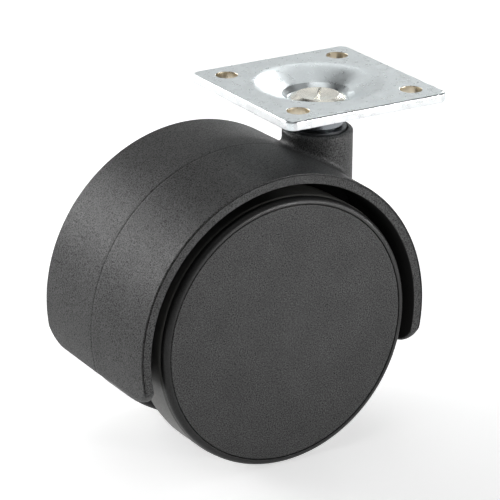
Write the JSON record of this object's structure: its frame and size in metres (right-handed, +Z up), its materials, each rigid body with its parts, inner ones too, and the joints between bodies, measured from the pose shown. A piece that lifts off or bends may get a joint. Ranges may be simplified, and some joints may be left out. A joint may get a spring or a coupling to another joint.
{
  "type": "furniture caster",
  "caption": "Swivelling furniture caster with paired wheels under a shared hood, on a square dished screw plate; rolls and turns freely under a chair or cabinet.",
  "frame": {"origin": "centre of the top plate's upper face, on the swivel axis", "axes": "+Z up, out of the plate's upper face; +X the way the caster rolls, with the wheels trailing on the -X side; +Y along the axle, to the left"},
  "size_m": [0.0721, 0.0404, 0.0723],
  "materials": {
    "zinc_plate": "bright zinc-plated pressed steel, satin, slightly bluish",
    "pin_zinc": "zinc-plated turned steel with a faint yellow passivation",
    "bright_steel": "bright turned steel",
    "spring_steel": "oiled, blackened spring steel",
    "hood_nylon": "black nylon with a fine spark-eroded grain",
    "wheel_nylon": "black nylon, smoother than the hood",
    "cap_nylon": "black nylon with a fine grain, slightly satin",
    "soft_tread": "grey soft polyurethane, matt",
    "bush_acetal": "natural acetal, smooth"
  },
  "bodies": {
    "plate": {"top_plate": "zinc_plate", "kingpin": "pin_zinc", "grip_ring": "spring_steel"},
    "fork": {"hood_body": "hood_nylon", "neck_sleeve": "bright_steel", "swivel_washer": "bright_steel", "axle": "bright_steel", "left_inner_washer": "bright_steel", "right_inner_washer": "bright_steel", "left_outer_washer": "bright_steel", "right_outer_washer": "bright_steel", "left_axle_clip": "spring_steel", "right_axle_clip": "spring_steel"},
    "left_wheel": {"left_wheel_rim": "wheel_nylon", "left_tread": "soft_tread", "left_hub_bush": "bush_acetal", "left_hub_cap": "cap_nylon"},
    "right_wheel": {"right_wheel_rim": "wheel_nylon", "right_tread": "soft_tread", "right_hub_bush": "bush_acetal", "right_hub_cap": "cap_nylon"}
  },
  "joints": [
    {"name": "swivel", "type": "hinge", "parent": "plate", "child": "fork", "pos_m": [0, 0, -0.02], "axis": [0, 0, 1], "continuous": true},
    {"name": "left_wheel_spin", "type": "hinge", "parent": "fork", "child": "left_wheel", "pos_m": [-0.0196, 0.0136, -0.0438], "axis": [0, 1, 0], "continuous": true},
    {"name": "right_wheel_spin", "type": "hinge", "parent": "fork", "child": "right_wheel", "pos_m": [-0.0196, -0.0136, -0.0438], "axis": [0, 1, 0], "continuous": true}
  ]
}
